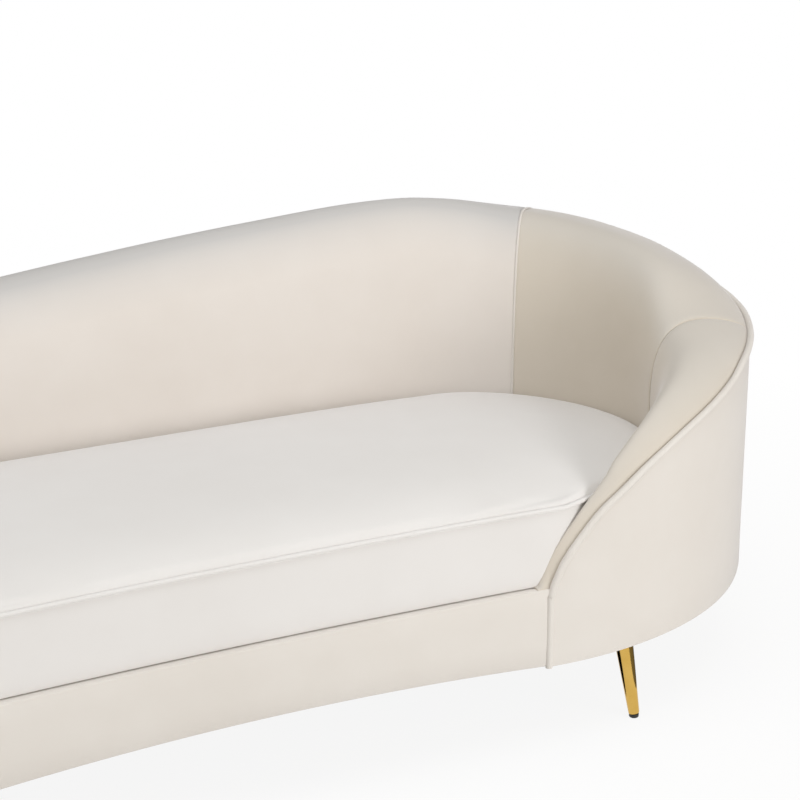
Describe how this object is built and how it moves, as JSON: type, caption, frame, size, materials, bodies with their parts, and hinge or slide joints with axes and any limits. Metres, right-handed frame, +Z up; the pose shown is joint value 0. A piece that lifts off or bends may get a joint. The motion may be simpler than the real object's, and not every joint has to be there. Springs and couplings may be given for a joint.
{
  "type": "sofa",
  "caption": "Upholstered sofa with a rounded bench seat cushion inside a thick back that wraps round into low sloping arms and sweeps down to the left, on splayed tapered metal legs.",
  "frame": {"origin": "on the floor under the middle of the sofa", "axes": "+Z up, the front of the seat faces -Y, +X to the right of someone who looks at the front"},
  "size_m": [2.2296, 0.8128, 0.77],
  "materials": {
    "velvet": "ivory velvet",
    "lining": "matt woven",
    "timber": "sawn",
    "steel": "zinc plated",
    "gold": "polished",
    "black_plastic": "matt"
  },
  "bodies": {
    "sofa": {"arm_pad_left": "velvet", "arm_pad_right": "velvet", "back_pad": "velvet", "back_panel": "timber", "back_posts": "timber", "back_top_rail": "timber", "base_back_rail": "timber", "base_end_rail_left": "timber", "base_end_rail_right": "timber", "base_front_rail": "timber", "base_stretcher_1": "timber", "base_stretcher_2": "timber", "base_stretcher_3": "timber", "base_stretcher_4": "timber", "deck_cloth": "lining", "dust_cover": "lining", "edge_welt_back": "velvet", "edge_welt_left": "velvet", "edge_welt_right": "velvet", "end_panel_left": "timber", "end_panel_right": "timber", "front_apron": "velvet", "leg_glides": "black_plastic", "leg_plates": "steel", "legs_back": "gold", "legs_front": "gold", "outside_back_cover": "velvet", "outside_end_cover_left": "velvet", "outside_end_cover_right": "velvet", "seat_back_rail": "timber", "seat_springs": "steel", "side_posts_left": "timber", "side_posts_right": "timber", "spring_clips": "steel", "wrap_pad_left": "velvet", "wrap_pad_right": "velvet"},
    "cushion": {"seat_cushion": "velvet", "seat_welt": "velvet"}
  },
  "joints": [
    {"name": "seat_cushion_lift", "type": "slide", "parent": "sofa", "child": "cushion", "axis": [0, 0, 1], "range_m": [0, 0.5]}
  ]
}
